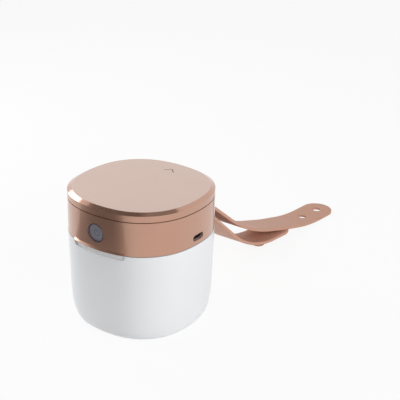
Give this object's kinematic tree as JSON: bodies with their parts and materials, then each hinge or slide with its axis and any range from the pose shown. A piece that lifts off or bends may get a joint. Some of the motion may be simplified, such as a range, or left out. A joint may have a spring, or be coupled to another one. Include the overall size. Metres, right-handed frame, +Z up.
{
  "type": "pacifier sterilizer case",
  "caption": "Portable ultraviolet case for baby soothers: round-bottomed bowl, hinged battery lid with a lamp, power button and charging port, and a silicone carry strap with two holes and two studs.",
  "frame": {"origin": "on the table, under the middle of the case", "axes": "+Z up; the power button faces -Y; the charging port faces +X; the hinge and the strap are at +Y"},
  "size_m": [0.0824, 0.2457, 0.082],
  "materials": {
    "bowl_white": "satin white",
    "liner_metallised": "metallised",
    "foot_rubber": "matte",
    "magnet_nickel": "nickel plated",
    "steel": "plain",
    "collar_copper": "satin metallic paint",
    "cap_rose": "satin metallic paint",
    "mark_dark": "matte",
    "cover_white": "matte",
    "seal_rubber": "matte",
    "window_clear": "clear quartz",
    "board_white": "solder mask",
    "board_green": "solder mask",
    "diode_cream": "clear coat",
    "connector_cream": "matte",
    "chip_black": "matte",
    "pad_foam": "foam",
    "battery_foil": "foil pouch",
    "lead_red": "satin",
    "bezel_copper": "metallised",
    "button_grey": "translucent satin",
    "icon_slate": "matte",
    "plunger_white": "matte",
    "strap_silicone": "matte silicone"
  },
  "bodies": {
    "case": {"body_shell": "bowl_white", "inner_liner": "liner_metallised", "base_foot": "foot_rubber", "bowl_magnets": "magnet_nickel", "sensor_magnet": "magnet_nickel", "hinge_pin": "steel", "pin_caps": "bowl_white"},
    "lid": {"top_cover": "cap_rose", "opening_mark": "mark_dark", "collar_housing": "collar_copper", "inner_cover": "cover_white", "lid_seal": "seal_rubber", "lamp_window": "window_clear", "reflector": "liner_metallised", "lamp_board": "board_white", "uv_leds": "diode_cream", "lamp_connector": "connector_cream", "main_board": "board_green", "board_screws": "steel", "cover_screws": "steel", "board_chips": "chip_black", "battery_pad": "pad_foam", "battery": "battery_foil", "battery_leads": "lead_red", "lid_sensor": "chip_black", "lid_magnets": "magnet_nickel", "button_bezel": "bezel_copper", "switch_body": "chip_black", "status_light": "diode_cream", "charge_socket": "steel", "charge_tongue": "chip_black"},
    "button": {"power_button": "button_grey", "button_icon": "icon_slate"},
    "plunger": {"switch_plunger": "plunger_white"},
    "strap": {"carry_strap": "strap_silicone"}
  },
  "joints": [
    {"name": "lid_hinge", "type": "hinge", "parent": "case", "child": "lid", "pos_m": [0, 0.0451, 0.0559], "axis": [1, 0, 0], "range_deg": [-95, 0]},
    {"name": "button_press", "type": "slide", "parent": "lid", "child": "button", "axis": [0, 1, 0], "range_m": [0, 0.0005], "stiffness_N_per_m": 1000},
    {"name": "plunger_press", "type": "slide", "parent": "lid", "child": "plunger", "axis": [0, 1, 0], "range_m": [0, 0.0005]},
    {"name": "strap_swing", "type": "hinge", "parent": "case", "child": "strap", "pos_m": [0, 0.0451, 0.0559], "axis": [1, 0, 0], "range_deg": [0, 20]}
  ],
  "couplings": [
    {"joint": "plunger_press", "follows": "button_press", "ratio": 1}
  ]
}
